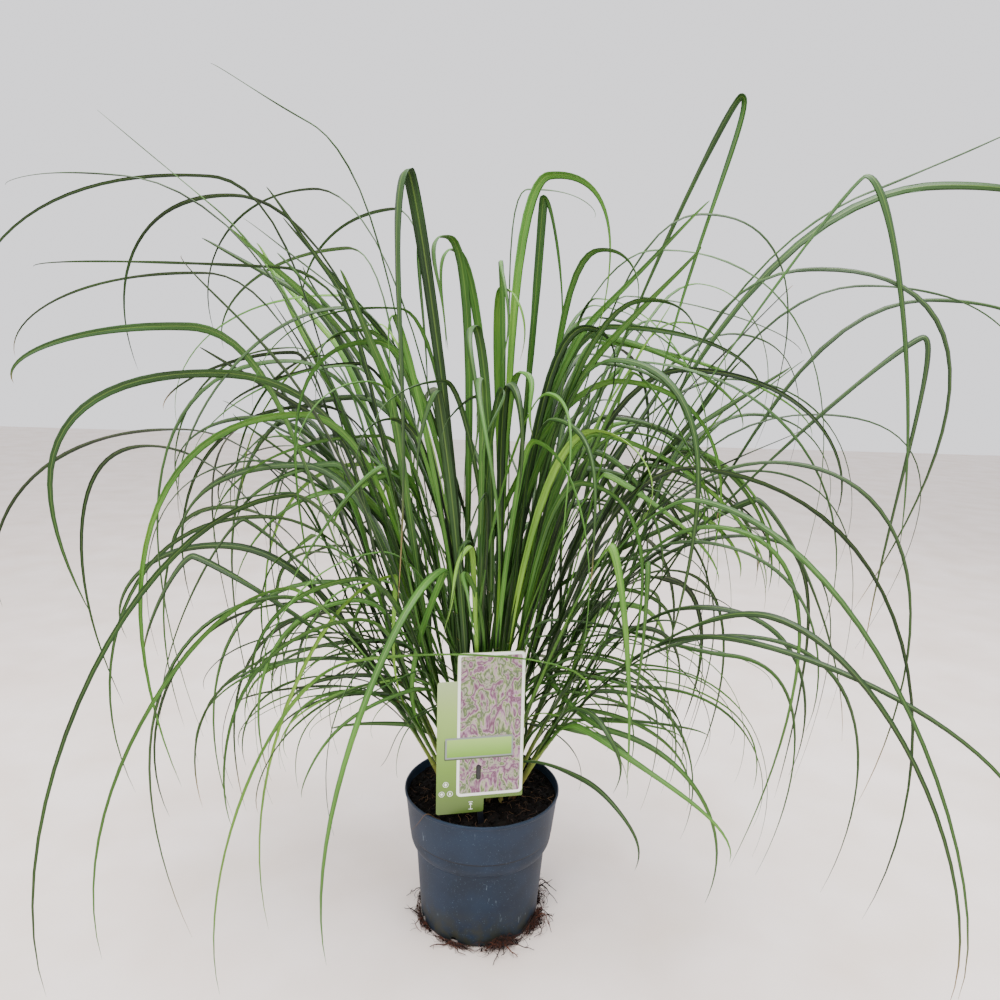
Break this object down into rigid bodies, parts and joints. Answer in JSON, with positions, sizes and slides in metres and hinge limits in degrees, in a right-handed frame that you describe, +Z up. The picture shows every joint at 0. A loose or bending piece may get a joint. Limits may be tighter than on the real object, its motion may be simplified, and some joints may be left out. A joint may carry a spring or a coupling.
{
  "type": "potted fountain grass",
  "caption": "Clump of arching ornamental grass leaves growing in a round nursery pot, with a plain plant label on a stake.",
  "frame": {"origin": "middle of the pot's flat base, on the surface it stands on", "axes": "+Z up, +X to the right of the label's printed front, +Y away from that front"},
  "size_m": [1.0656, 0.8028, 0.8518],
  "materials": {
    "pot": "matte",
    "soil": "loose and rough",
    "label": "satin print",
    "stake": "satin",
    "roots": "rough",
    "leaves": "satin"
  },
  "bodies": {
    "root": {"pot": "pot", "soil": "soil", "label_card": "label", "label_stake": "stake", "root_tuft_1": "roots", "root_tuft_2": "roots", "root_tuft_3": "roots", "root_tuft_4": "roots", "root_tuft_5": "roots", "root_tuft_6": "roots", "root_tuft_7": "roots", "root_tuft_8": "roots", "stem_01": "leaves", "stem_02": "leaves", "stem_03": "leaves", "stem_04": "leaves", "stem_05": "leaves", "stem_06": "leaves", "stem_07": "leaves", "stem_08": "leaves", "stem_09": "leaves", "stem_10": "leaves", "stem_11": "leaves", "stem_12": "leaves", "stem_13": "leaves", "stem_14": "leaves", "stem_15": "leaves", "stem_16": "leaves", "stem_17": "leaves", "stem_18": "leaves", "stem_19": "leaves", "stem_20": "leaves", "stem_21": "leaves", "stem_22": "leaves", "stem_23": "leaves", "stem_24": "leaves", "stem_25": "leaves", "stem_26": "leaves", "stem_27": "leaves", "stem_28": "leaves", "stem_29": "leaves", "stem_30": "leaves", "stem_31": "leaves", "stem_32": "leaves", "stem_33": "leaves", "stem_34": "leaves", "stem_35": "leaves", "stem_36": "leaves", "stem_37": "leaves", "stem_38": "leaves", "stem_39": "leaves"}
  },
  "joints": []
}
